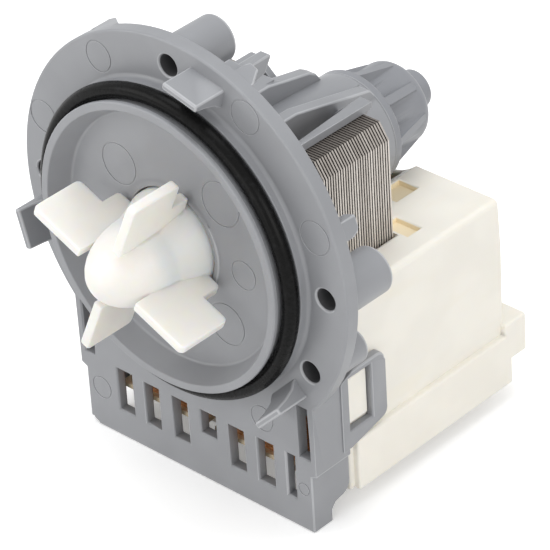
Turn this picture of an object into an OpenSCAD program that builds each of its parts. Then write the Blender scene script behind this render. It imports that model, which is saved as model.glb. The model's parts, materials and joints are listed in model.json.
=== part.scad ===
// Drain pump of a washing machine: a flange with an open spigot carries a wet rotor can,
// and a coil housing with two coils on a split steel stator clips on behind it.
// Axes: X to the right seen from the impeller, Y from the impeller to the rear, Z up.
// The origin lies on the pump axis, in the front face of the flange.

/* [View] */
// Sub-part to draw

/* [Flange and spigot] */
// Diameter of the round flange
flange_d = 86; // [80:0.5:92]
// Thickness of the flange
flange_t = 3.3; // [2.5:0.1:4.5]
// Outside diameter of the spigot in front of the O-ring
spigot_d = 62.4; // [58:0.2:66]
// Length of the spigot in front of the flange
spigot_l = 7.3; // [6:0.1:10]
// Diameter of the shoulder behind the O-ring
shoulder_d = 66.6; // [64:0.2:70]
// Depth of the spigot's floor in front of the flange face
floor_front = 2.5; // [1:0.1:4]
// Section diameter of the O-ring
ring_d = 3.4; // [3:0.1:4]
// Diameter of the screw holes
screw_d = 4.7; // [4:0.1:5.5]
// Pitch circle diameter of the screw holes
screw_pcd = 75.2; // [72:0.2:80]
// Angles of the long screw bosses, counter-clockwise from +X seen from the impeller
long_boss_angles = [0, 90, 180];
// Angle of the short screw boss
short_boss_angle = -30; // [-60:1:-10]
// Length of the bayonet lugs in front of the flange
lug_l = 7.6; // [5:0.1:10]
// Distance of a lug's outer face from the axis
lug_r = 39.9; // [38:0.1:42]
// Width of a bayonet lug
lug_w = 8.8; // [6:0.2:12]

/* [Lower plate] */
// Half width of the plate above its step
plate_half_w = 32.5; // [30:0.1:36]
// Half width of the plate below its step
foot_half_w = 31.2; // [30:0.1:36]
// Height of the step
step_z = -44.2; // [-50:0.1:-40]
// Height of the lower edge
foot_z = -58.3; // [-64:0.1:-54]
// Thickness of the plate
plate_t = 2.5; // [2:0.1:4]
// Width of a vent slot
slot_w = 4.2; // [3:0.1:6]

/* [Rotor can] */
// Outside diameter of the can between the poles
can_d = 25.9; // [24:0.1:27]
// Inside diameter of the can
can_bore_d = 22.8; // [21:0.1:24]
// Rear end of the can
can_end_y = 49.6; // [46:0.1:54]
// Rear end of the cap's ribbed part
cap_end_y = 64.5; // [60:0.1:68]
// Rear end of the nose
nose_end_y = 70; // [66:0.1:74]
// Number of ribs round the cap
cap_ribs = 8; // [6:1:12]
// Thickness of a rib of the cap
cap_rib_t = 1.8; // [1:0.1:3]

/* [Stator] */
// Pitch of the steel sheets in the stack
sheet_pitch = 0.72; // [0.5:0.01:1]
// Number of sheets in the stack
sheets = 36; // [30:1:50]
// Front face of the stack
stack_y = 10.8; // [8:0.1:14]
// Half width of the stack at the poles
pole_half_w = 22.4; // [20:0.1:26]
// Top of the poles
pole_top_z = 15.5; // [13:0.1:18]
// Bore between the poles
pole_bore_d = 26.8; // [26:0.1:30]
// Inner face of a leg, from the middle plane
leg_x = 8.6; // [8:0.1:12]
// Width of a leg
leg_w = 9; // [7:0.1:12]
// Lower end of the legs
leg_end_z = -48.8; // [-52:0.1:-44]
// Height of the yoke below the legs
yoke_h = 4.6; // [4:0.1:8]

/* [Coils] */
// Wall of a bobbin
bobbin_wall = 1.2; // [0.8:0.1:2]
// Loops drawn in the outer layer of a winding
loops = 15; // [8:1:24]
// Diameter of the drawn wire
wire_d = 1.1; // [0.8:0.05:1.6]
// Thickness of the winding under its outer layer
winding_build = 4.4; // [3:0.1:6]

/* [Coil housing] */
// Half width of the housing
housing_half_w = 30.9; // [28:0.1:34]
// Top face of the housing
housing_top_z = -10.1; // [-14:0.1:-8]
// Rear face of the housing
housing_rear_y = 59.4; // [56:0.1:64]
// Half width of the skirt
skirt_half_w = 32.3; // [30:0.1:36]
// Top of the skirt
skirt_top_z = -42.2; // [-46:0.1:-38]
// Lower face of the housing
housing_low_z = -54.6; // [-58:0.1:-50]
// Rear face of the connector block
connector_y = 65; // [60:0.5:75]

/* [Rotor and impeller] */
// Diameter of the shaft
shaft_d = 3; // [2:0.1:4]
// Outside diameter of the magnet
magnet_d = 21.6; // [20:0.1:22]
// Length of the magnet
magnet_l = 29; // [24:0.5:34]
// Diameter of the impeller over its blades
impeller_d = 42; // [36:0.5:50]
// Thickness of a blade
blade_t = 2.1; // [1.5:0.1:3]
// Angle of the first blade
blade_angle = 66; // [0:1:89]
// Front edge of the blades
blade_front_y = -20.7; // [-24:0.1:-16]
// Rear edge of the blades
blade_rear_y = -8.1; // [-10:0.1:-6]
// Tip of the hub
hub_tip_y = -24; // [-28:0.1:-20]

/* [Hidden] */
$fn = 96;
eps = 0.01;

grey = [0.55, 0.58, 0.63];
ivory = [0.93, 0.91, 0.85];
white = [0.95, 0.95, 0.92];
steel = [0.55, 0.52, 0.48];
copper = [0.66, 0.36, 0.2];
black = [0.06, 0.06, 0.07];
brass = [0.8, 0.66, 0.36];

flange_r = flange_d / 2;
spigot_r = spigot_d / 2;
shoulder_r = shoulder_d / 2;
groove_r = spigot_r - 0.55;
groove_y = -6.2;
groove_rear_y = -2.2;
ring_y = -3.95;
floor_y = -floor_front;
floor_r = 27.6;
rim_inner_r = 29.35;
mouth_y = -2.9;
can_r = can_d / 2;
can_bore_r = can_bore_d / 2;
can_end_r = 12.2;
collar_end_y = can_end_y + 2;
screw_r = screw_pcd / 2;

stack_l = sheet_pitch * sheets;
stack_end_y = stack_y + stack_l;
stack_mid_y = stack_y + stack_l / 2;
leg_mid_x = leg_x + leg_w / 2;
leg_gap = 0.2;
bobbin_top_z = -13.7;
winding_top_z = bobbin_top_z - bobbin_wall;
winding_low_z = -47.4;
tube_half_x = leg_w / 2 + leg_gap + bobbin_wall;
tube_half_y = stack_l / 2 + leg_gap + bobbin_wall;
core_half_x = tube_half_x + winding_build;
core_half_y = tube_half_y + winding_build;
wire_r = wire_d / 2;
flange_margin = wire_d + 0.3;

shaft_r = shaft_d / 2;
run_gap = 0.04;
magnet_r = magnet_d / 2;
magnet_y = 9.8;
core_r = 5;
hub_cavity_r = 7.6;
hub_cavity_y = -13;
cover_y = -5.5;
dog_half_angle = 20;
stop_half_angle = 22;
damper_angle = 7;

// Points of an arc in a plane, from angle a0 to a1
function arc(cx, cy, r, a0, a1, n = 6) =
    [for (i = [0 : n]) [cx + r * cos(a0 + (a1 - a0) * i / n), cy + r * sin(a0 + (a1 - a0) * i / n)]];

// Turns a profile of [radius, y] points about the pump axis
module lathe(points) {
    rotate([-90, 0, 0])
        rotate_extrude()
            polygon(points);
}

// Cylinder along the pump's direction from y0 to y1 at [x, z]
module rod(r, y0, y1, x = 0, z = 0) {
    translate([x, y0, z])
        rotate([-90, 0, 0])
            cylinder(r = r, h = y1 - y0);
}

// Tube along the pump axis
module tube(outer_r, inner_r, y0, y1) {
    difference() {
        rod(outer_r, y0, y1);
        rod(inner_r, y0 - 1, y1 + 1);
    }
}

// Slab with an outline of [x, z] points from y0 to y1
module slab(y0, y1, points) {
    translate([0, y1, 0])
        rotate([90, 0, 0])
            linear_extrude(y1 - y0)
                polygon(points);
}

// Slab with an outline of [y, z] points from x0 to x1
module side_slab(x0, x1, points) {
    translate([x0, 0, 0])
        rotate([90, 0, 90])
            linear_extrude(x1 - x0)
                polygon(points);
}

// Box between two corners
module box(a, b) {
    translate(a)
        cube(b - a);
}

// Puts its children on the right (s = 1) or mirrors them to the left (s = -1)
module on_side(s) {
    mirror([s < 0 ? 1 : 0, 0, 0])
        children();
}

// Sector of a disc about the pump axis, centred on the given angle seen from the impeller
module sector(inner_r, outer_r, y0, y1, angle, half_angle) {
    reach = outer_r * 2;
    difference() {
        intersection() {
            rod(outer_r, y0, y1);
            slab(y0 - 1, y1 + 1, [
                [0, 0],
                reach * [cos(angle - half_angle), sin(angle - half_angle)],
                reach * [cos(angle), sin(angle)],
                reach * [cos(angle + half_angle), sin(angle + half_angle)]
            ]);
        }
        rod(inner_r, y0 - 2, y1 + 2);
    }
}

// Flange, spigot and can as one turned body
function body_profile() = concat(
    [[can_bore_r - 0.4, mouth_y], [12.6, mouth_y], [12.9, floor_y], [floor_r - 0.7, floor_y]],
    arc(floor_r - 0.7, floor_y - 0.7, 0.7, 90, 20),
    [[rim_inner_r, -spigot_l + 0.35]],
    arc(rim_inner_r + 0.35, -spigot_l + 0.35, 0.35, 180, 270, 4),
    arc(spigot_r - 0.35, -spigot_l + 0.35, 0.35, -90, 0, 4),
    [[spigot_r, groove_y], [groove_r, groove_y], [groove_r, groove_rear_y]],
    arc(shoulder_r - 0.3, groove_rear_y + 0.3, 0.3, -90, 0, 4),
    arc(shoulder_r + 0.9, -0.9, 0.9, 180, 90),
    arc(flange_r - 0.5, 0.5, 0.5, -90, 0, 4),
    arc(flange_r - 0.3, flange_t - 0.3, 0.3, 0, 90, 4),
    [[27.2, flange_t], [26.6, 0.6], [16.5, 0.6], [13.4, flange_t], [can_r, stack_y - 1],
     [can_r, stack_end_y + 0.8], [can_end_r, can_end_y - 0.15], [can_end_r - 0.15, can_end_y],
     [can_bore_r - 0.4, can_end_y]]
);

// Blind screw boss behind the flange, with its hole left out
module boss(angle, r, end_y) {
    x = screw_r * cos(angle);
    z = screw_r * sin(angle);
    rod(r, flange_t - 1, end_y - 0.5, x, z);
    translate([x, end_y - 0.5, z])
        rotate([-90, 0, 0])
            cylinder(r1 = r, r2 = r - 0.5, h = 0.5);
}

module screw_hole(angle, depth) {
    rod(screw_d / 2, -1, depth, screw_r * cos(angle), screw_r * sin(angle));
}

// Bayonet lug: flat outside, wedge-shaped towards the axis
module lug(angle) {
    rotate([0, -angle, 0])
        translate([0, 0, -lug_w / 2])
            linear_extrude(lug_w)
                polygon([[lug_r, 1], [lug_r, -lug_l + 0.3], [lug_r - 0.3, -lug_l], [lug_r - 1.45, -lug_l],
                         [lug_r - 2.1, -4.5], [lug_r - 3, -2], [lug_r - 4.2, -0.6], [lug_r - 4.6, 1]]);
}

// Shallow ring left by an ejector pin in a face that looks forward
module pin_mark(x, z, r, face_y) {
    difference() {
        rod(r + 0.15, face_y - 1, face_y + 0.15, x, z);
        rod(r - 0.15, face_y - 2, face_y + 1, x, z);
    }
}

// Tab on the rear of the flange's rim, with an outline of [height, width] points
module rim_tab(angle, points, inset = 0) {
    rotate([0, -angle, 0])
        translate([flange_r - 3.3 - inset, flange_t - 0.5, 0])
            rotate([90, 0, 90])
                linear_extrude(3.2)
                    polygon(points);
}

// Ribs, fins and shelf that stiffen the can
module can_ribs() {
    side_slab(-7, -4, [[1, 8], [1, 17.2], [31, 17.2], [35.5, 16.2], [42.8, 14.7], [44.4, 13.8], [46.6, 10.8],
                       [46.6, 8]]);
    box([-15.5, 1, 15.7], [-5, 33.8, 17.2]);
    side_slab(4, 7, [[1, 6], [1, 16.8], [27, 16.8], [48.3, 12], [can_end_y, 10.3], [can_end_y, 6]]);
    for (s = [-1, 1])
        on_side(s) {
            translate([0, 0, pole_top_z + 0.05])
                linear_extrude(1.75)
                    polygon([[16.1, 1], [16.1, 38.2], [15.6, 38.8], [13.1, 38.8], [15, 15], [15, 1]]);
            slab(stack_end_y + 0.3, 38.8,
                 [[6, 6], [9, 6], [15.4, pole_top_z - 0.4], [16.1, pole_top_z + 0.4], [16.1, 17.2], [13.1, 17.2], [6, 11]]);
        }
}

// Slotted plate below the flange with its side walls and clip loops
module lower_plate() {
    slab(0, plate_t, [
        [-plate_half_w, -20], [-plate_half_w, step_z], [-foot_half_w, step_z - 0.6], [-foot_half_w, foot_z + 3],
        [-foot_half_w + 0.9, foot_z + 0.9], [-foot_half_w + 3, foot_z],
        [foot_half_w, foot_z], [foot_half_w, step_z - 0.6], [plate_half_w, step_z], [plate_half_w, -20]
    ]);
    box([-foot_half_w + 2, 0, foot_z], [foot_half_w, 5.6, foot_z + 2]);
    for (s = [-1, 1])
        on_side(s) {
            side_slab(31, plate_half_w, [[0, -22], [5, -22], [10.2, -26], [10.2, step_z], [0, step_z]]);
            side_slab(29.7, foot_half_w, concat(
                [[0, foot_z + 1.2], [0, step_z + 1.1], [11, step_z + 1.1], [11, -51]],
                arc(8, -51, 3, 0, -90, 5),
                [[6.6, -54.3], [5.6, -55.5], [5.6, foot_z + 1.2]]
            ));
            clip_loop();
        }
}

// Loop that snaps over the catch of the coil housing
module clip_loop() {
    difference() {
        side_slab(31, 32.85, concat(
            [[8, -42.6], [8, -26], [12, -24.6]],
            arc(19, -26.6, 2, 90, 0, 4),
            arc(19, -38.2, 2, 0, -60, 4),
            [[10, -42.4]]
        ));
        side_slab(30, 34, [[10.3, -26], [16.8, -26], [16.8, -38.4], [10.3, -38.4]]);
    }
}

module vent_slots() {
    for (i = [0 : 6]) {
        left = -22.2 + 7.8 * i;
        w = i == 6 ? 2.2 : slot_w;
        low = i == 3 ? -47 : -51.6;
        box([left, -1, low], [left + w, plate_t + 1, -41.4]);
    }
    for (s = [-1, 1])
        on_side(s)
            box([28.2, -1, -40.6], [31, plate_t + 1, -28.2]);
}

module flange_housing() {
    color(grey)
        difference() {
            union() {
                lathe(body_profile());
                lower_plate();
                can_ribs();
                for (a = long_boss_angles)
                    boss(a, 5, 14);
                boss(short_boss_angle, 3.9, 12.8);
                for (a = [75, 195, 315])
                    lug(a);
                rim_tab(117, [[0, -4.5], [5.5, 2.9], [5.5, 4.5], [0, 4.5]]);
                rim_tab(67, concat([[0, -2.25], [0.9, -2.25], [3.9, -0.35]], arc(3.9, 0.25, 0.6, -90, 0, 3),
                                   arc(3.9, 1.65, 0.6, 0, 90, 3), [[0, 2.25]]));
                rim_tab(72.4, [[0, -1.8], [3.4, -1.8], [2.8, 1.8], [0, 1.8]], 0.9);
                rim_tab(20, [[0, -1.95], [2.6, -1.95], [3.8, -1.5], [4.3, -0.8], [4.4, 1.9], [0, 1.9]]);
                side_slab(11.6, 14.2, [[flange_t - 0.5, 33], [11.7, 35.5], [13.2, 37.8], [13.4, 39], [flange_t - 0.5, 39]]);
            }
            vent_slots();
            rod(can_bore_r, mouth_y - 1, can_end_y + 1);
            for (a = long_boss_angles)
                screw_hole(a, 12.2);
            screw_hole(short_boss_angle, 11);
            for (m = [[-18.9, 33.1, 3.3], [-36.5, 13.3, 3.55], [19.6, 33.5, 3.55], [35.8, 13.2, 3.6],
                      [18.7, -35.7, 2.85], [-27, -48.2, 2.55], [29, -48.3, 1.4]])
                pin_mark(m[0], m[1], m[2], 0);
            for (m = [[-13.1, 12.3, 4.5], [14, 13.5, 4.8], [18.9, -0.7, 3.1], [13.4, -14.2, 4.6]])
                pin_mark(m[0], m[1], m[2], floor_y);
        }
}

// Ribbed cap that closes the can and holds the rear bush in its nose
module rear_cap() {
    spigot_front_y = can_end_y - 3;
    floor_r = 8.8;
    rear_r = 9.15;
    seat_r = 3.3;
    color(grey)
        difference() {
            union() {
                lathe(concat(
                    [[0, spigot_front_y], [can_bore_r, spigot_front_y], [can_bore_r, can_end_y],
                     [can_end_r - 0.15, can_end_y], [can_end_r, can_end_y + 0.15], [can_end_r, collar_end_y - 0.3],
                     [can_end_r - 0.3, collar_end_y], [floor_r, collar_end_y + 0.3], [rear_r, cap_end_y - 2.6]],
                    arc(rear_r - 2.2, cap_end_y - 2.2, 2.2, 0, 90, 6),
                    [[4.7, cap_end_y], [4.4, cap_end_y + 0.4]],
                    arc(3.7, nose_end_y - 0.6, 0.6, 0, 90, 4),
                    [[0, nose_end_y]]
                ));
                for (i = [0 : cap_ribs - 1])
                    rotate([0, -360 / cap_ribs * i, 0])
                        translate([0, 0, -cap_rib_t / 2])
                            linear_extrude(cap_rib_t)
                                polygon([[8, can_end_y + 1], [11.7, can_end_y + 1], [11.7, collar_end_y + 0.2],
                                         [11.4, collar_end_y + 0.9], [rear_r, cap_end_y - 2.4], [8, cap_end_y - 2.4]]);
            }
            lathe([[0, spigot_front_y - 1], [9.6, spigot_front_y - 1], [9.4, can_end_y + 0.4], [7.3, collar_end_y],
                   [7.1, cap_end_y - 2.3], [4.9, cap_end_y - 2.3], [4.9, 59.8], [0, 59.8]]);
            rod(seat_r, 59, 68.6);
        }
}

module o_ring() {
    color(black)
        translate([0, ring_y, 0])
            rotate([-90, 0, 0])
                rotate_extrude()
                    translate([groove_r + ring_d / 2, 0])
                        circle(d = ring_d, $fn = 32);
}

// Pole and leg of the stator on the right side
module pole_stack() {
    bore_r = pole_bore_d / 2;
    tip = acos(leg_x / bore_r);
    slab(stack_y, stack_end_y, concat(
        [[13.2, pole_top_z]],
        arc(0, 0, bore_r, tip, -tip, 20),
        [[leg_x, leg_end_z], [leg_x + leg_w, leg_end_z], [leg_x + leg_w, -12.9], [pole_half_w, -12.9],
         [pole_half_w, 12], [20.1, pole_top_z]]
    ));
}

module stator(s) {
    color(steel)
        on_side(s)
            pole_stack();
}

module stator_yoke() {
    reach = leg_x + leg_w;
    color(steel)
        box([-reach, stack_y, leg_end_z - yoke_h], [reach, stack_end_y, leg_end_z]);
}

// Bobbin round a leg: square tube with two end flanges
module bobbin(s) {
    margin = winding_build + flange_margin;
    color(ivory)
        on_side(s)
            translate([leg_mid_x, stack_mid_y, 0])
                difference() {
                    union() {
                        box([-tube_half_x, -tube_half_y, winding_low_z - bobbin_wall],
                            [tube_half_x, tube_half_y, bobbin_top_z]);
                        for (z = [winding_low_z - bobbin_wall, winding_top_z])
                            box([-tube_half_x - margin, -tube_half_y - margin, z],
                                [tube_half_x + margin, tube_half_y + margin, z + bobbin_wall]);
                    }
                    box([-leg_w / 2, -stack_l / 2, -60], [leg_w / 2, stack_l / 2, 0]);
                }
}

corner_r = 3;
rings = 24;
pitch = (winding_top_z - winding_low_z - wire_d - 0.6) / loops;

// Centre of ring i of the winding and its outward direction; rings run round a rounded rectangle
function ring_side(i) = floor((i % rings) / 6);
function ring_step(i) = (i % rings) % 6;
function wire_out(i) =
    let (turn = 90 * ring_side(i), a = turn + min(ring_step(i), 3) * 30)
    [cos(a), sin(a)];
function wire_centre(i) =
    let (
        side = ring_side(i),
        k = ring_step(i),
        hx = core_half_x - corner_r,
        hy = core_half_y - corner_r,
        corners = [[hx, hy], [-hx, hy], [-hx, -hy], [hx, -hy]],
        r = corner_r + wire_r - 0.15,
        out = wire_out(i),
        start = corners[side] + r * out,
        next = corners[(side + 1) % 4] + r * [cos(90 * side + 90), sin(90 * side + 90)],
        along = k > 3 ? (k - 3) / 3 : 0,
        place = start + (next - start) * along,
        z = winding_low_z + wire_r + 0.3 + pitch * i / rings
    )
    [place[0], place[1], z];
function wire_ring(i) =
    let (c = wire_centre(i), out = wire_out(i))
    [for (j = [0 : 5]) [
        c[0] + wire_r * cos(60 * j) * out[0],
        c[1] + wire_r * cos(60 * j) * out[1],
        c[2] + wire_r * sin(60 * j)
    ]];
ring_count = loops * rings;
loop_gap = min([for (i = [0 : rings]) norm(wire_centre(i) - wire_centre(i + rings))]) - wire_d;
echo(loop_gap = loop_gap);

// Outer layer of a winding as one unbroken tube
module wire_helix() {
    points = [for (i = [0 : ring_count - 1]) each wire_ring(i)];
    last = 6 * (ring_count - 1);
    walls = [for (i = [0 : ring_count - 2], j = [0 : 5])
        let (a = 6 * i + j, b = 6 * i + (j + 1) % 6)
        each [[a, b, a + 6], [b, b + 6, a + 6]]];
    caps = [for (j = [1 : 4]) each [[0, j + 1, j], [last, last + j, last + j + 1]]];
    polyhedron(points, concat(walls, caps));
}

module coil(s) {
    low = winding_low_z;
    top = winding_top_z;
    color(copper)
        on_side(s)
            translate([leg_mid_x, stack_mid_y, 0])
                union() {
                    difference() {
                        translate([0, 0, low])
                            linear_extrude(top - low)
                                polygon(concat(
                                    arc(core_half_x - corner_r, core_half_y - corner_r, corner_r, 0, 90, 3),
                                    arc(-core_half_x + corner_r, core_half_y - corner_r, corner_r, 90, 180, 3),
                                    arc(-core_half_x + corner_r, -core_half_y + corner_r, corner_r, 180, 270, 3),
                                    arc(core_half_x - corner_r, -core_half_y + corner_r, corner_r, 270, 360, 3)
                                ));
                        box([-tube_half_x, -tube_half_y, low - 1], [tube_half_x, tube_half_y, top + 1]);
                    }
                    wire_helix();
                }
}

flange_rear_y = stack_mid_y + tube_half_y + winding_build + flange_margin;
terminal_z = -44.6;
terminal_x = [14, 26.4];

// Wire across the upper flanges that joins the two windings
module coil_link() {
    color(copper)
        translate([-6, flange_rear_y + 0.5, winding_top_z + 0.6])
            rotate([0, 90, 0])
                cylinder(r = 0.5, h = 12);
}

// Lead from the rear of a bobbin's lower flange up to the terminal
module lead(s) {
    x = s > 0 ? 24.2 : 14.6;
    lead_r = 0.4;
    low_z = winding_low_z - bobbin_wall / 2;
    rise_y = flange_rear_y + 1.5;
    color(copper)
        union() {
            rod(lead_r, rise_y, 51.6, x, terminal_z - lead_r);
            rod(lead_r, flange_rear_y, rise_y, x, low_z);
            translate([x, rise_y, low_z - 0.5])
                cylinder(r = 0.5, h = terminal_z - low_z + 0.5);
        }
}

module thermal_cutout() {
    color(ivory)
        box([8, flange_rear_y, -27], [16, flange_rear_y + 4, bobbin_top_z - 0.2]);
}

// Blade terminal with a narrow root inside the housing
module terminal(s) {
    x = terminal_x[s > 0 ? 1 : 0];
    z = terminal_z;
    color(brass)
        union() {
            box([x - 3.15, 52, z], [x + 3.15, 63.2, z + 0.8]);
            box([x - 2.6, 49.6, z], [x + 2.6, 52 + eps, z + 0.8]);
        }
}

// Outer form of the coil housing, with the draft of its upper band
module housing_outside() {
    front_low = 11.3;
    front_mid = 3.7;
    front_top = 13.4;
    band_z = -21;
    slab(front_top, housing_rear_y, [
        [-housing_half_w, -24.5], [housing_half_w, -24.5], [housing_half_w, band_z],
        [housing_half_w - 0.5, housing_top_z - 0.8], [housing_half_w - 1.3, housing_top_z],
        [-housing_half_w + 1.3, housing_top_z], [-housing_half_w + 0.5, housing_top_z - 0.8],
        [-housing_half_w, band_z]
    ]);
    box([-housing_half_w, front_mid, -43], [housing_half_w, housing_rear_y, -24.4]);
    box([-housing_half_w, front_low, housing_low_z], [housing_half_w, housing_rear_y, -42.9]);
    box([-skirt_half_w, 12.6, housing_low_z], [skirt_half_w, housing_rear_y + 1.1, skirt_top_z]);
    box([8, housing_rear_y - 1, -48.7], [skirt_half_w, connector_y, -39.5]);
}

module coil_housing() {
    wall = 1.6;
    rear_in = housing_rear_y - wall;
    color(ivory)
        difference() {
            union() {
                difference() {
                    housing_outside();
                    box([-housing_half_w + wall, -1, leg_end_z - yoke_h],
                        [housing_half_w - wall, rear_in, housing_top_z - 1.8]);
                }
                for (s = [-1, 1])
                    on_side(s)
                        side_slab(housing_half_w - 0.4, housing_half_w + 0.9,
                                  [[10.6, -37.6], [10.6, -26.8], [16.5, -26.8], [16.5, -37.6]]);
            }
            rod(13.5, -1, 70);
            box([-pole_half_w - 0.5, -1, -14], [pole_half_w + 0.5, stack_end_y + 0.4, 0]);
            for (s = [-1, 1])
                on_side(s) {
                    box([9.6, 46.4, housing_top_z - 1.2], [14.5, 52.8, 0]);
                    box([18.4, 37.9, housing_top_z - 1.2], [24.7, 41.9, 0]);
                }
            box([9.6, rear_in + 1, -47.1], [30.8, connector_y + 1, -41.1]);
            for (x = terminal_x)
                box([x - 3.15, 50, -44.6], [x + 3.15, 66, -43.8]);
        }
}

// Plug in the mouth of the can, with the seats of the front bush and the seal
module bearing_carrier() {
    color(grey)
        lathe([[4.5, -0.6], [can_bore_r, -0.6], [can_bore_r, 7.8], [9.9, 7.8], [9.4, 2.4], [8, 2.4], [7.6, 7.8],
               [7, 7.8], [7, 1.4], [2.4, 1.4], [2.4, 0.6], [4.5, 0.6]]);
}

module front_bush_holder() {
    color(black)
        tube(7, 4, 1.4, 7.8);
}

module front_bush() {
    color(steel)
        tube(4, shaft_r + run_gap, 1.6, 8);
}

module shaft_seal() {
    color(black)
        lathe([[4.5, -0.5], [4.5, 0.6], [3.2, 0.6], [shaft_r + run_gap, -0.1], [shaft_r + run_gap, -0.5]]);
}

module rear_bush_holder() {
    color(black)
        tube(3.3, 2.5, 60, 66.8);
}

module rear_bush() {
    color(steel)
        tube(2.5, shaft_r + run_gap, 60, 66.4);
}

module thrust_washer(r, y0, y1) {
    color(white)
        tube(r, shaft_r + run_gap, y0, y1);
}

module rotor_shaft() {
    color(steel)
        lathe([[0, -21.2], [shaft_r - 0.3, -21.2], [shaft_r, -20.9], [shaft_r, 67.4], [shaft_r - 0.3, 67.7], [0, 67.7]]);
}

module rotor_core() {
    front = magnet_y - 0.8;
    rear = magnet_y + magnet_l;
    color(white)
        lathe([[shaft_r, front], [7.5, front], [7.5, magnet_y], [core_r, magnet_y], [core_r, rear],
               [7.5, rear], [7.5, rear + 0.8], [3.2, rear + 2], [3.2, 58.9], [shaft_r, 58.9]]);
}

module rotor_magnet() {
    color(black)
        lathe([[core_r, magnet_y], [magnet_r - 0.4, magnet_y], [magnet_r, magnet_y + 0.4],
               [magnet_r, magnet_y + magnet_l - 0.4], [magnet_r - 0.4, magnet_y + magnet_l],
               [core_r, magnet_y + magnet_l]]);
}

// Arm that turns with the shaft inside the impeller's hub
module drive_dog() {
    color(white)
        difference() {
            union() {
                rod(3.2, -12.4, -6.1);
                sector(2, 7, -12.4, -6.1, blade_angle + 180, dog_half_angle);
            }
            rod(shaft_r, -20, 0);
        }
}

// Flat radial blade with its lower step behind
module blade(angle) {
    tip_r = impeller_d / 2;
    round_r = 1.2;
    rotate([0, -angle, 0])
        translate([0, 0, -blade_t / 2])
            linear_extrude(blade_t)
                polygon(concat(
                    [[7.7, -3.5], [13.7, -3.5], [14.3, -4.1], [14.4, blade_rear_y]],
                    arc(tip_r - round_r, blade_rear_y - round_r, round_r, 90, 0, 4),
                    arc(tip_r - round_r, blade_front_y + round_r, round_r, 0, -90, 4),
                    [[7.7, blade_front_y], [7.7, -14], [8.2, -10]]
                ));
}

module impeller() {
    dome_r = 8.8;
    dome_y = -10;
    skirt_y = -1.2;
    color(white)
        union() {
            difference() {
                union() {
                    lathe(concat(
                        [[0, skirt_y], [11.1, skirt_y], [11, -3.6], [10.2, -5.6], [9.4, -7.8]],
                        [for (i = [0 : 10]) [dome_r * cos(9 * i), dome_y + (hub_tip_y - dome_y) * sin(9 * i)]]
                    ));
                    for (i = [0 : 3])
                        blade(blade_angle + 90 * i);
                }
                rod(hub_cavity_r, hub_cavity_y, 0);
                rod(shaft_r + run_gap, -21.6, 0);
                lathe([[0, -3.8], [9.4, -3.8], [9.9, 0], [0, 0]]);
            }
            sector(4, hub_cavity_r + 0.3, hub_cavity_y - 0.2, cover_y, blade_angle, stop_half_angle);
        }
}

module hub_cover() {
    color(white)
        tube(hub_cavity_r, shaft_r + run_gap, cover_y, -3.8);
}

// Rubber clip over the inner face and both sides of the stop
module dog_damper() {
    color(black)
        difference() {
            sector(3.5, 7.3, hub_cavity_y, cover_y, blade_angle, stop_half_angle + damper_angle);
            sector(4, 9, hub_cavity_y - 1, cover_y + 1, blade_angle, stop_half_angle);
        }
}

flange_housing();
rear_cap();
o_ring();
stator(-1);  // stator_left
stator(1);  // stator_right
stator_yoke();
coil_housing();
bobbin(-1);  // bobbin_left
bobbin(1);  // bobbin_right
coil(-1);  // coil_left
coil(1);  // coil_right
coil_link();
lead(-1);  // lead_left
lead(1);  // lead_right
thermal_cutout();
terminal(-1);  // terminal_left
terminal(1);  // terminal_right
bearing_carrier();
front_bush();
front_bush_holder();
shaft_seal();
rear_bush();
rear_bush_holder();
thrust_washer(4.5, 8.1, 8.8);  // thrust_washer_front
thrust_washer(3, 59.05, 59.85);  // thrust_washer_rear
rotor_magnet();
rotor_core();
rotor_shaft();
drive_dog();
impeller();
hub_cover();
dog_damper();
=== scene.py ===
"""Washer drain pump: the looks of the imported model, in metres and in its frame.

X runs to the right seen from the impeller, Y from the impeller to the rear, Z up; the origin lies on the pump
axis in the front face of the flange.
"""

import json
import math

import bmesh
import bpy
import numpy as np
from mathutils import Matrix, Vector


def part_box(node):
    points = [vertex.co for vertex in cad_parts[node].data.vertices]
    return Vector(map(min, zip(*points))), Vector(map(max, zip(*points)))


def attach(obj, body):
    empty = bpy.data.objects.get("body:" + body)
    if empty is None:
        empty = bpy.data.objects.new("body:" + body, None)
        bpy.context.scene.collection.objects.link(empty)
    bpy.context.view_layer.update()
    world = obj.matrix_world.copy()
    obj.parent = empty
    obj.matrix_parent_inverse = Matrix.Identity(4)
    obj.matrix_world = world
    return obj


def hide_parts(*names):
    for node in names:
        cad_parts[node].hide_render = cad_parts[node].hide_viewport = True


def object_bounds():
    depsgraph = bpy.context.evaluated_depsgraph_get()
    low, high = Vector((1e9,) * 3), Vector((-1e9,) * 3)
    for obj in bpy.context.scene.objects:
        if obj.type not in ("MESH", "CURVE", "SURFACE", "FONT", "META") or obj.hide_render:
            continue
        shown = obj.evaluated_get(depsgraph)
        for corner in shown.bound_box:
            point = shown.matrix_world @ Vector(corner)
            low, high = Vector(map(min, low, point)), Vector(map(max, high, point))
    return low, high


MM = 0.001

# Camera, fitted to the photograph
CAMERA_PLACE = (0.43057, -0.41208, 0.38086)
CAMERA_RIGHT = (0.73583, 0.67503, -0.05371)
CAMERA_UP = (-0.33897, 0.43583, 0.83376)
CAMERA_BACK = (0.58622, -0.59530, 0.54951)
CAMERA_LENS = 238.66

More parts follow.
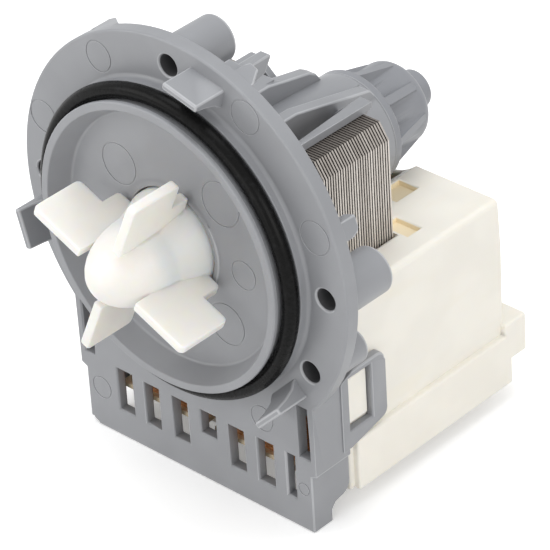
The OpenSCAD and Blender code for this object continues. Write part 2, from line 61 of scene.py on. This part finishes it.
# Sizes that the looks need beyond the CAD, in millimetres
SHEET_PITCH = 0.72
SHEET_GAP = 0.30
SHEET_BURR = 0.07
CORE_INSET = 0.42
WIRE_PITCH = 0.62
HOLE_ANGLES = (0, 90, 180, -30)
HOLE_PITCH_R = 37.6
HOLE_R = 2.35
TOP_POCKETS = ((9.5, 14.6, 46.3, 52.9), (18.3, 24.8, 37.8, 42.0))
HOLE_SPAN_Y = (0.5, 12.3)
POCKET_SPAN = (0.05, 1.3)

# Edges: what counts as bent, sharp and flat, and how far a rounding may go
SHARP_ANGLE = math.radians(34)
BENT_ANGLE = math.radians(1)
SMOOTH_ANGLE = math.radians(38)
FLAT = 0.02 * MM
ROOM_SHARE = 0.45
LEAST_WEIGHT = 0.08
EDGE_SAMPLES = (0.04, 0.27, 0.5, 0.73, 0.96)

# Repair of faces that fold when their edges are rounded
FOLD_REACH = 0.6 * MM
FOLD_TRIES = 8
FOLD_AREA = 0.003 * MM * MM
FOLD_TURN = 0.2
EASED_SHARE = 0.35
EASED_TRIES = 3
EASED_LEAST = 0.2

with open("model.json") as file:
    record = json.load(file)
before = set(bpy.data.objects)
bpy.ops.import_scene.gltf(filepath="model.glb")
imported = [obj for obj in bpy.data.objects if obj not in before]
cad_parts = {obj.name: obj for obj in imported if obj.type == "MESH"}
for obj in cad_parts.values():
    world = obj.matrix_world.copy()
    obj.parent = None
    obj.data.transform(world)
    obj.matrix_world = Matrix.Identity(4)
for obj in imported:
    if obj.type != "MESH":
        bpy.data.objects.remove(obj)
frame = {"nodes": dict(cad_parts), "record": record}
cad_box = [list(corner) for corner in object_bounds()]
nodes = frame["nodes"]


class Value:
    """An output of a shader graph; plain operators add maths nodes."""

    def __init__(self, graph, socket):
        self.graph = graph
        self.socket = socket

    def _maths(self, operation, other=None):
        node = self.graph.tree.nodes.new("ShaderNodeMath")
        node.operation = operation
        for i, value in enumerate((self, other)):
            if value is not None:
                self.graph.feed(node.inputs[i], value)
        return Value(self.graph, node.outputs[0])

    def __add__(self, other):
        return self._maths("ADD", other)

    def __mul__(self, other):
        return self._maths("MULTIPLY", other)

    def __truediv__(self, other):
        return self._maths("DIVIDE", other)

    def __rsub__(self, other):
        return (self * -1.0)._maths("ADD", other)

    __radd__ = __add__
    __rmul__ = __mul__

    def floor(self):
        return self._maths("FLOOR")

    def ramp(self, low, high, out_low=0.0, out_high=1.0):
        """Smooth step from low to high."""
        return self.graph.node(
            "ShaderNodeMapRange", 0, {0: self, 1: low, 2: high, 3: out_low, 4: out_high},
            interpolation_type="SMOOTHSTEP",
        )


class Graph:
    """Node tree of one material around a Principled shader."""

    def __init__(self, name):
        self.material = bpy.data.materials.new(name)
        self.material.use_nodes = True
        self.tree = self.material.node_tree
        self.shader = self.tree.nodes["Principled BSDF"]
        self.place = self.node("ShaderNodeTexCoord", "Object")

    def feed(self, target, value):
        if isinstance(value, Value):
            self.tree.links.new(value.socket, target)
        else:
            target.default_value = value

    def node(self, kind, output=0, inputs=None, **settings):
        node = self.tree.nodes.new(kind)
        for key, value in settings.items():
            setattr(node, key, value)
        for key, value in (inputs or {}).items():
            self.feed(node.inputs[key], value)
        return Value(self, node.outputs[output])

    def noise(self, size_mm, detail=3.0, rough=0.55, stretch=None):
        place = self.place
        if stretch is not None:
            place = self.node("ShaderNodeMapping", 0, {"Vector": place, "Scale": stretch})
        return self.node(
            "ShaderNodeTexNoise", 0,
            {"Vector": place, "Scale": 1.0 / (size_mm * MM), "Detail": detail, "Roughness": rough},
        )

    def axis(self, letter):
        return self.node("ShaderNodeSeparateXYZ", letter, {0: self.place})

    def mix(self, factor, a, b):
        node = self.tree.nodes.new("ShaderNodeMix")
        node.data_type = "RGBA"
        self.feed(node.inputs[0], factor)
        self.feed(node.inputs[6], a)
        self.feed(node.inputs[7], b)
        return Value(self, node.outputs[2])

    def bump(self, height, depth_mm, strength=1.0, after=None):
        inputs = {"Height": height, "Distance": depth_mm * MM, "Strength": strength}
        if after is not None:
            inputs["Normal"] = after
        return self.node("ShaderNodeBump", 0, inputs)

    def surface(self, **sockets):
        for key, value in sockets.items():
            self.feed(self.shader.inputs[key.replace("_", " ")], value)
        return self.material


def colour(r, g, b):
    return (r, g, b, 1.0)


def moulded(name, base, rough=0.4, grain=0.012, blotch=0.05, subsurface=0.0, tint=None):
    """Moulded plastic: cloudy colour, fine grain, faint flow marks and uneven sheen."""
    g = Graph(name)
    cloud = g.noise(14, 2.0)
    fine = g.noise(0.25, 2.0)
    flow = g.noise(6, 3.0, 0.6, (1.0, 0.25, 1.0))
    dark = colour(*(c * (1 - blotch) for c in base))
    light = colour(*(min(1.0, c * (1 + blotch)) for c in base))
    body = g.mix(cloud.ramp(0.35, 0.65), dark, light)
    if tint:
        body = g.mix(flow.ramp(0.52, 0.75) * 0.35, body, colour(*tint))
    grainy = g.bump(fine, grain, 0.6)
    settings = dict(
        Base_Color=body,
        Roughness=(flow * 0.12 + (rough - 0.06)),
        Normal=g.bump(flow, 0.02, 0.25, grainy),
    )
    if subsurface:
        g.shader.inputs["Subsurface Weight"].default_value = subsurface
        g.shader.inputs["Subsurface Radius"].default_value = (1.0, 0.75, 0.5)
        g.shader.inputs["Subsurface Scale"].default_value = 3 * MM
    return g.surface(**settings)


def rubber_material():
    g = Graph("black_rubber")
    dust = g.noise(1.2, 4.0)
    fine = g.noise(0.3, 2.0)
    body = g.mix(dust.ramp(0.5, 0.8), colour(0.006, 0.006, 0.006), colour(0.014, 0.014, 0.015))
    g.shader.inputs["Specular IOR Level"].default_value = 0.08
    return g.surface(
        Base_Color=body,
        Roughness=dust * 0.2 + 0.18,
        Normal=g.bump(fine, 0.01, 0.5),
    )


def sheet_material():
    """Cut edges of the stator sheets: bright sheared band, darker torn band, warm tint by sheet; painted shade
    darkens the faces that look up.
    """
    g = Graph("sheet_steel")
    along = g.axis("Y") / (SHEET_PITCH * MM)
    number = along.floor()
    shade = g.node("ShaderNodeTexWhiteNoise", "Value", {"W": number}, noise_dimensions="1D")
    stain = g.noise(2.2, 4.0)
    scratch = g.noise(0.5, 3.0, 0.6, (1.0, 6.0, 1.0))
    body = g.mix(shade, colour(0.55, 0.505, 0.46), colour(0.76, 0.71, 0.655))
    body = g.mix(stain.ramp(0.5, 0.8) * 0.35, body, colour(0.34, 0.28, 0.24))
    # Painted shade: faces that look up are darkened towards a dark brown.
    top_shade_facing = g.node("ShaderNodeSeparateXYZ", "Z", {0: g.node("ShaderNodeNewGeometry", "Normal")})
    body = g.mix(top_shade_facing.ramp(0.2, 0.95) * 0.9, body, colour(0.10, 0.084, 0.073))
    return g.surface(
        Base_Color=body,
        Metallic=0.45,
        Roughness=scratch * 0.25 + 0.3,
        Normal=g.bump(scratch, 0.02, 0.5),
    )


def gap_shade_material():
    # Painted shade: near black for the faces inside the gaps between sheets and for the core behind them.
    g = Graph("sheet_gap_shade")
    stain = g.noise(1.0, 3.0)
    body = g.mix(stain, colour(0.008, 0.006, 0.006), colour(0.02, 0.016, 0.014))
    return g.surface(Base_Color=body, Roughness=stain * 0.2 + 0.6)


def copper_material():
    g = Graph("copper_wire")
    shade = g.noise(0.8, 3.0)
    body = g.mix(shade.ramp(0.3, 0.7), colour(0.58, 0.24, 0.09), colour(0.76, 0.38, 0.16))
    return g.surface(
        Base_Color=body,
        Metallic=0.2,
        Roughness=shade * 0.15 + 0.28,
        Normal=g.bump(g.noise(0.2), 0.005, 0.4),
    )


def metal_material(name, base, rough, stretch, metallic=1.0):
    """Turned or drawn metal with fine marks along one direction."""
    g = Graph(name)
    marks = g.noise(0.4, 4.0, 0.6, stretch)
    stain = g.noise(3.0, 3.0)
    body = g.mix(stain.ramp(0.4, 0.8) * 0.5, colour(*base), colour(*(c * 0.7 for c in base)))
    return g.surface(
        Base_Color=body,
        Metallic=metallic,
        Roughness=marks * 0.25 + rough,
        Normal=g.bump(marks, 0.01, 0.4),
    )


grey = moulded("grey_plastic", (0.288, 0.294, 0.311), 0.38, 0.012, 0.035)
# Dark grey that paints the shade inside the screw holes.
hole_shade_grey = moulded("grey_plastic_bore_shade", (0.10, 0.10, 0.105), 0.6, 0.02, 0.1)
# The lighter edge greys paint a highlight on the rounded edges that stand proud.
grey_edge_highlight = moulded("grey_plastic_edge_highlight", (0.42, 0.427, 0.445), 0.36, 0.012, 0.05)
cap_grey = moulded("cap_plastic", (0.245, 0.252, 0.272), 0.40, 0.012, 0.035)
cap_edge_highlight = moulded("cap_plastic_edge_highlight", (0.35, 0.357, 0.377), 0.38, 0.012, 0.05)
ivory = moulded("ivory_plastic", (0.89, 0.853, 0.775), 0.42, 0.010, 0.02, 0.15, (0.88, 0.82, 0.68))
bobbin_ivory = moulded("bobbin_plastic", (0.88, 0.74, 0.52), 0.45, 0.010, 0.03)
# Warmer ivory that paints the glow of light through the thin pocket floors.
pocket_glow_ivory = moulded("ivory_plastic_pocket_glow", (0.92, 0.80, 0.57), 0.42, 0.010, 0.03)
white = moulded("white_plastic", (0.86, 0.84, 0.805), 0.40, 0.008, 0.015, 0.8, (0.87, 0.83, 0.74))
rubber = rubber_material()
sheets = sheet_material()
gap_shade = gap_shade_material()
copper = copper_material()
shaft_steel = metal_material("shaft_steel", (0.62, 0.62, 0.62), 0.15, (8.0, 0.5, 8.0))
bush_metal = metal_material("bush_metal", (0.36, 0.31, 0.26), 0.35, (2.0, 2.0, 2.0))
terminal_tin = metal_material("terminal_metal", (0.66, 0.60, 0.48), 0.2, (1.0, 8.0, 8.0))
ferrite = metal_material("magnet", (0.035, 0.035, 0.038), 0.45, (4.0, 4.0, 4.0), 0.2)

SLOTS = {
    "grey_plastic": grey, "cap_plastic": cap_grey, "carrier_plastic": cap_grey, "ivory_plastic": ivory,
    "bobbin_plastic": bobbin_ivory, "white_plastic": white, "sheet_steel": sheets, "shaft_steel": shaft_steel,
    "bush_metal": bush_metal, "copper_wire": copper, "terminal_metal": terminal_tin, "magnet": ferrite,
    "black_rubber": rubber,
}
slot_of = {part["node"]: part["material_slot"] for part in frame["record"]["subparts"]}
body_of = {name: body for body, names in frame["record"]["behaviour"]["bodies"].items() for name in names}


def paint(obj, material):
    obj.data.materials.clear()
    obj.data.materials.append(material)


def activate(obj):
    bpy.ops.object.select_all(action="DESELECT")
    bpy.context.view_layer.objects.active = obj
    obj.select_set(True)


def apply_modifiers(obj):
    activate(obj)
    for modifier in list(obj.modifiers):
        bpy.ops.object.modifier_apply(modifier=modifier.name)


def new_piece(name, mesh, body, slot, replaced=()):
    obj = bpy.data.objects.new(name, mesh)
    bpy.context.scene.collection.objects.link(obj)
    paint(obj, SLOTS[slot])
    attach(obj, body)
    if replaced:
        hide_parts(*replaced)
    return obj


def cleaned_copy(node_name):
    """Mesh of a CAD node with welded points and flat faces joined."""
    mesh = nodes[node_name].data.copy()
    work = bmesh.new()
    work.from_mesh(mesh)
    bmesh.ops.remove_doubles(work, verts=work.verts, dist=0.002 * MM)
    bmesh.ops.dissolve_limit(
        work, angle_limit=math.radians(0.6), verts=work.verts, edges=work.edges, delimit={"NORMAL"}
    )
    work.to_mesh(mesh)
    work.free()
    return mesh


def clear_way(starts, ends, origin, across, along):
    """Distance from a point on an edge, across its flat face, to the nearest other edge in that plane."""
    rel_start = starts - origin
    rel_end = ends - origin
    side_start = rel_start @ along
    side_end = rel_end @ along
    span = side_start - side_end
    hit = (side_start * side_end <= 0) & (np.abs(span) > 1e-9)
    share = side_start[hit] / span[hit]
    reach = (rel_start[hit] + share[:, None] * (rel_end[hit] - rel_start[hit])) @ across
    return reach[reach > 0.001 * MM].min(initial=1.0)


def weigh_edges(work, radius):
    """Bevel weight of each sharp outer edge: the share of the radius that its two faces have room for."""
    layer = work.edges.layers.float.new("bevel_weight_edge")
    bent = [e for e in work.edges if len(e.link_faces) == 2 and e.calc_face_angle(0.0) > BENT_ANGLE]
    starts = np.array([e.verts[0].co[:] for e in bent])
    ends = np.array([e.verts[1].co[:] for e in bent])
    planes = {}

    def edges_beside(face):
        """Ends of the edges that lie in the plane of a face."""
        normal = np.array(face.normal)
        level = face.normal.dot(face.verts[0].co)
        key = (*np.round(normal, 3), round(level / MM, 2))
        if key not in planes:
            near = (np.abs(starts @ normal - level) < FLAT) & (np.abs(ends @ normal - level) < FLAT)
            planes[key] = (starts[near], ends[near])
        return planes[key]

    for edge in bent:
        if edge.calc_face_angle(0.0) < SHARP_ANGLE or not edge.is_convex:
            continue
        room = 1.0
        for loop in edge.link_loops:
            a, b = loop.vert.co, loop.link_loop_next.vert.co
            along = (b - a).normalized()
            across = np.array(loop.face.normal.cross(along))
            for share in EDGE_SAMPLES if (b - a).length > 2 * radius else (0.5,):
                origin = np.array(a.lerp(b, share))
                room = min(room, clear_way(*edges_beside(loop.face), origin, across, np.array(along)))
        weight = min(1.0, ROOM_SHARE * room / radius)
        edge[layer] = weight if weight > LEAST_WEIGHT else 0.0


def keep_proud_highlights(mesh):
    """Leaves the painted edge highlight only on the strips that stand proud of their neighbours."""
    work = bmesh.new()
    work.from_mesh(mesh)
    middles = {f: f.calc_center_median() for f in work.faces}
    for face in work.faces:
        if face.material_index == 1:
            rise = sum(
                (middles[near] - middles[face]).normalized().dot(face.normal)
                for edge in face.edges for near in edge.link_faces if near is not face
            )
            face.material_index = 1 if rise < 0 else 0
    work.to_mesh(mesh)
    work.free()


def folded_spots(mesh):
    """Corners of the triangles that fold over inside their own face."""
    mesh.calc_loop_triangles()
    spots = []
    for triangle in mesh.loop_triangles:
        a, b, c = (mesh.vertices[i].co for i in triangle.vertices)
        across = (b - a).cross(c - a)
        normal = mesh.polygons[triangle.polygon_index].normal
        if across.length > FOLD_AREA and across.normalized().dot(normal) < FOLD_TURN:
            spots += [a[:], b[:], c[:]]
    return np.array(spots)


def ease_edges(mesh, spots, reach, share_kept):
    """Lowers the bevel weight of the edges within reach of folded spots."""
    for edge, weight in zip(mesh.edges, mesh.attributes["bevel_weight_edge"].data):
        if weight.value > 0:
            a, b = (np.array(mesh.vertices[i].co) for i in edge.vertices)
            share = np.clip((spots - a) @ (b - a) / ((b - a) @ (b - a)), 0, 1)
            gap = np.linalg.norm(spots - a - share[:, None] * (b - a), axis=1).min()
            if gap < reach:
                weight.value = weight.value * share_kept if weight.value > EASED_LEAST else 0.0


def bevel_edges(obj, radius, edge_highlight_material):
    """Rounds the weighted edges, more gently each time where faces would fold."""
    source = obj.data.copy()
    for attempt in range(FOLD_TRIES):
        obj.data = source.copy()
        bevel = obj.modifiers.new("edges", "BEVEL")
        bevel.width = radius
        bevel.segments = 3
        bevel.limit_method = "WEIGHT"
        bevel.use_clamp_overlap = False
        bevel.loop_slide = False
        bevel.miter_outer = "MITER_ARC"
        # The bevel strips get the material with the painted highlight.
        if edge_highlight_material is not None:
            bevel.material = 1
        apply_modifiers(obj)
        spots = folded_spots(obj.data)
        if not len(spots):
            break
        share_kept = EASED_SHARE if attempt < EASED_TRIES else 0.0
        ease_edges(source, spots, FOLD_REACH * (1 + attempt), share_kept)


def rounded(node_name, radius_mm, edge_highlight_material=None):
    """Copy of a CAD node with its sharp edges rounded, which stands for the node."""
    slot = slot_of[node_name]
    obj = new_piece(node_name + "_rounded", cleaned_copy(node_name), body_of[node_name], slot, (node_name,))
    work = bmesh.new()
    work.from_mesh(obj.data)
    weigh_edges(work, radius_mm * MM)
    work.to_mesh(obj.data)
    work.free()
    if edge_highlight_material is not None:
        obj.data.materials.append(edge_highlight_material)
    bevel_edges(obj, radius_mm * MM, edge_highlight_material)
    if edge_highlight_material is not None:
        keep_proud_highlights(obj.data)
    activate(obj)
    bpy.ops.object.shade_smooth_by_angle(angle=SMOOTH_ANGLE)
    weighted = obj.modifiers.new("normals", "WEIGHTED_NORMAL")
    weighted.keep_sharp = True
    apply_modifiers(obj)
    return obj


def sheet_stack(side):
    """One leg of the stator as single sheets with gaps between them; the faces inside the gaps and a shrunk core
    behind them are painted near black as shade.
    """
    node_name = "stator_" + side
    low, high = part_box(node_name)
    mesh = cleaned_copy(node_name)
    work = bmesh.new()
    work.from_mesh(mesh)
    rest = [f for f in work.faces if f.normal.y > -0.99 or abs(f.calc_center_median().y - low.y) > 0.1 * MM]
    bmesh.ops.delete(work, geom=rest, context="FACES")
    work.to_mesh(mesh)
    work.free()
    obj = new_piece(node_name + "_sheets", mesh, "housing", "sheet_steel", (node_name,))
    solid = obj.modifiers.new("thickness", "SOLIDIFY")
    solid.thickness = (SHEET_PITCH - SHEET_GAP) * MM
    solid.offset = -1
    bevel = obj.modifiers.new("sheared_edge", "BEVEL")
    bevel.width = SHEET_BURR * MM
    bevel.segments = 1
    bevel.limit_method = "ANGLE"
    bevel.angle_limit = math.radians(50)
    array = obj.modifiers.new("stack", "ARRAY")
    array.use_relative_offset = False
    array.use_constant_offset = True
    array.constant_offset_displace = (0, SHEET_PITCH * MM, 0)
    array.count = round((high.y - low.y) / (SHEET_PITCH * MM))
    apply_modifiers(obj)
    # Faces inside the gaps between sheets get the painted shade.
    obj.data.materials.append(gap_shade)
    for face in obj.data.polygons:
        inside = low.y + 0.1 * MM < face.center.y < high.y - (SHEET_GAP + 0.1) * MM
        if inside and abs(face.normal.y) > 0.9:
            face.material_index = 1
    # A shrunk core behind the gaps carries the painted shade too.
    core = new_piece(node_name + "_gap_shade", cleaned_copy(node_name), "housing", "sheet_steel")
    paint(core, gap_shade)
    activate(core)
    bpy.ops.object.mode_set(mode="EDIT")
    bpy.ops.mesh.select_all(action="SELECT")
    bpy.ops.transform.shrink_fatten(value=-CORE_INSET * MM, use_even_offset=True)
    bpy.ops.object.mode_set(mode="OBJECT")
    return obj


def winding(side):
    """Coil of fine wire round a bobbin, over a plain core."""
    node_name = "coil_" + side
    low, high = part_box(node_name)
    wire_r = 0.27 * MM
    inset = 0.5 * MM
    hx = (high.x - low.x) / 2 - inset
    hy = (high.y - low.y) / 2 - inset
    middle = (low + high) / 2
    corner = 3.0 * MM
    turns = int((high.z - low.z - 1.0 * MM) / (WIRE_PITCH * MM))
    steps = 20
    points = []
    for i in range(turns * steps + 1):
        side_number, step = divmod(i % steps, steps // 4)
        angle = math.radians(90 * side_number + min(step, 4) * 22.5)
        cx = (hx - corner) * (1, -1, -1, 1)[side_number]
        cy = (hy - corner) * (1, 1, -1, -1)[side_number]
        place = Vector((cx + corner * math.cos(angle), cy + corner * math.sin(angle), 0))
        points.append(middle + place + Vector((0, 0, low.z - middle.z + 0.5 * MM + WIRE_PITCH * MM * i / steps)))
    curve = bpy.data.curves.new(node_name + "_path", "CURVE")
    curve.dimensions = "3D"
    curve.bevel_depth = wire_r
    curve.bevel_resolution = 1
    curve.use_fill_caps = True
    line = curve.splines.new("POLY")
    line.points.add(len(points) - 1)
    for target, point in zip(line.points, points):
        target.co = (*point, 1)
    holder = bpy.data.objects.new(node_name + "_wire", curve)
    bpy.context.scene.collection.objects.link(holder)
    activate(holder)
    bpy.ops.object.convert(target="MESH")
    holder.data.name = node_name + "_wire"
    paint(holder, copper)
    for face in holder.data.polygons:
        face.use_smooth = True
    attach(holder, "housing")
    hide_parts(node_name)
    core_mesh = bpy.data.meshes.new(node_name + "_core")
    work = bmesh.new()
    size = Vector((2 * hx - 0.3 * MM, 2 * hy - 0.3 * MM, high.z - low.z))
    bmesh.ops.create_cube(work, size=1.0, matrix=Matrix.Translation(middle) @ Matrix.Diagonal((*size, 1.0)))
    upright = [e for e in work.edges if abs(e.verts[0].co.z - e.verts[1].co.z) > MM]
    bmesh.ops.bevel(work, geom=upright, offset=corner, segments=5, affect="EDGES", profile=0.5)
    work.to_mesh(core_mesh)
    work.free()
    new_piece(node_name + "_core", core_mesh, "housing", "copper_wire")
    return holder


def shade_holes(obj):
    """Painted shade: a darker, rougher wall inside the blind screw holes, where shade falls."""
    obj.data.materials.append(hole_shade_grey)
    for face in obj.data.polygons:
        place = face.center / MM
        for angle in HOLE_ANGLES:
            x = HOLE_PITCH_R * math.cos(math.radians(angle))
            z = HOLE_PITCH_R * math.sin(math.radians(angle))
            inside = math.hypot(place.x - x, place.z - z) < HOLE_R + 0.1
            if inside and HOLE_SPAN_Y[0] < place.y < HOLE_SPAN_Y[1]:
                face.material_index = len(obj.data.materials) - 1


def paint_pocket_glow(obj):
    """Painted glow: a warmer tone in the shallow pockets of the housing's top, standing for light that passes
    through the thin wall.
    """
    obj.data.materials.append(pocket_glow_ivory)
    top = max(vertex.co.z for vertex in obj.data.vertices) / MM
    for face in obj.data.polygons:
        place = face.center / MM
        if POCKET_SPAN[0] < top - place.z < POCKET_SPAN[1] and any(
            x0 < abs(place.x) < x1 and y0 < place.y < y1 for x0, x1, y0, y1 in TOP_POCKETS
        ):
            face.material_index = len(obj.data.materials) - 1


# Radius of the rounded edges in millimetres, and the material that paints a highlight on the edges that stand
# proud
ROUNDED = {
    "flange_housing": (0.4, grey_edge_highlight), "rear_cap": (0.35, cap_edge_highlight), "coil_housing": (0.6, None),
    "impeller": (0.4, None), "bobbin_left": (0.2, None), "bobbin_right": (0.2, None),
    "terminal_left": (0.12, None), "terminal_right": (0.12, None), "thermal_cutout": (0.5, None),
    "stator_yoke": (0.12, None),
}
for name, (radius, edge_highlight_material) in ROUNDED.items():
    piece = rounded(name, radius, edge_highlight_material)
    if name == "flange_housing":
        shade_holes(piece)
    if name == "coil_housing":
        paint_pocket_glow(piece)
for side in ("left", "right"):
    sheet_stack(side)
    winding(side)

for name, obj in nodes.items():
    paint(obj, SLOTS[slot_of[name]])


# Soft boxes: name, place, size and watts, all aimed at the middle of the pump
LAMPS = (
    ("overhead", (-0.10, 0.05, 0.80), 0.7, 3.3, (0.96, 0.98, 1.0)),
    ("front_left", (-0.60, -0.60, 0.35), 0.5, 2.0, (1.0, 0.99, 0.97)),
    ("front_low", (0.05, -0.80, 0.08), 0.5, 1.6, (1.0, 0.985, 0.96)),
    ("right", (0.80, -0.10, 0.30), 0.5, 2.2, (1.0, 0.99, 0.97)),
    ("rear", (0.20, 0.75, 0.45), 0.5, 0.4, (1.0, 1.0, 1.0)),
)
WORLD_LEVEL = 0.55
SHADOW_LIFT = 0.25


def soft_box(name, place, size, power, tint):
    lamp = bpy.data.lights.new(name, "AREA")
    lamp.shape = "SQUARE"
    lamp.size = size
    lamp.energy = power
    lamp.color = tint
    obj = bpy.data.objects.new(name, lamp)
    bpy.context.scene.collection.objects.link(obj)
    obj.location = place
    obj.rotation_euler = (Vector((0, 0.015, -0.01)) - Vector(place)).to_track_quat("-Z", "Y").to_euler()


def set_stage():
    """Pale floor that looks white, even surroundings and soft boxes."""
    mesh = bpy.data.meshes.new("floor")
    work = bmesh.new()
    bmesh.ops.create_grid(work, x_segments=1, y_segments=1, size=3.0,
                          matrix=Matrix.Translation((0, 0, cad_box[0][2] - 0.02 * MM)))
    work.to_mesh(mesh)
    work.free()
    floor = bpy.data.objects.new("floor", mesh)
    bpy.context.scene.collection.objects.link(floor)
    g = Graph("floor")
    seen = g.node("ShaderNodeLightPath", "Is Camera Ray") + g.node("ShaderNodeLightPath", "Is Glossy Ray")
    cloth = g.noise(60, 2.0)
    shade = g.mix(cloth, colour(0.68, 0.68, 0.68), colour(0.72, 0.72, 0.72))
    g.shader.inputs["Emission Strength"].default_value = 1.0
    paint(floor, g.surface(
        Base_Color=g.mix(seen, shade, colour(1, 1, 1)),
        Roughness=cloth * 0.1 + 0.85,
        Emission_Color=g.mix(seen, colour(0, 0, 0), colour(SHADOW_LIFT, SHADOW_LIFT, SHADOW_LIFT)),
    ))
    world = bpy.data.worlds.new("studio")
    world.use_nodes = True
    tree = world.node_tree
    light = tree.nodes["Background"]
    seen_white = tree.nodes.new("ShaderNodeBackground")
    for node, strength in ((light, WORLD_LEVEL), (seen_white, 1.0)):
        node.inputs["Color"].default_value = (1, 1, 1, 1)
        node.inputs["Strength"].default_value = strength
    path = tree.nodes.new("ShaderNodeLightPath")
    either = tree.nodes.new("ShaderNodeMath")
    either.operation = "MAXIMUM"
    choice = tree.nodes.new("ShaderNodeMixShader")
    links = (
        (path.outputs["Is Camera Ray"], either.inputs[0]), (path.outputs["Is Glossy Ray"], either.inputs[1]),
        (either.outputs[0], choice.inputs[0]), (light.outputs[0], choice.inputs[1]),
        (seen_white.outputs[0], choice.inputs[2]), (choice.outputs[0], tree.nodes["World Output"].inputs[0]),
    )
    for source, target in links:
        tree.links.new(source, target)
    bpy.context.scene.world = world
    for lamp in LAMPS:
        soft_box(*lamp)


def set_camera():
    data = bpy.data.cameras.new("camera")
    data.lens = CAMERA_LENS
    data.sensor_width = 36.0
    data.clip_start = 0.01
    data.clip_end = 10.0
    camera = bpy.data.objects.new("camera", data)
    bpy.context.scene.collection.objects.link(camera)
    turn = Matrix((CAMERA_RIGHT, CAMERA_UP, CAMERA_BACK)).transposed()
    camera.matrix_world = Matrix.Translation(CAMERA_PLACE) @ turn.to_4x4()
    bpy.context.scene.camera = camera
    bpy.context.scene.view_settings.view_transform = "Standard"


set_stage()
set_camera()
bpy.context.view_layer.update()
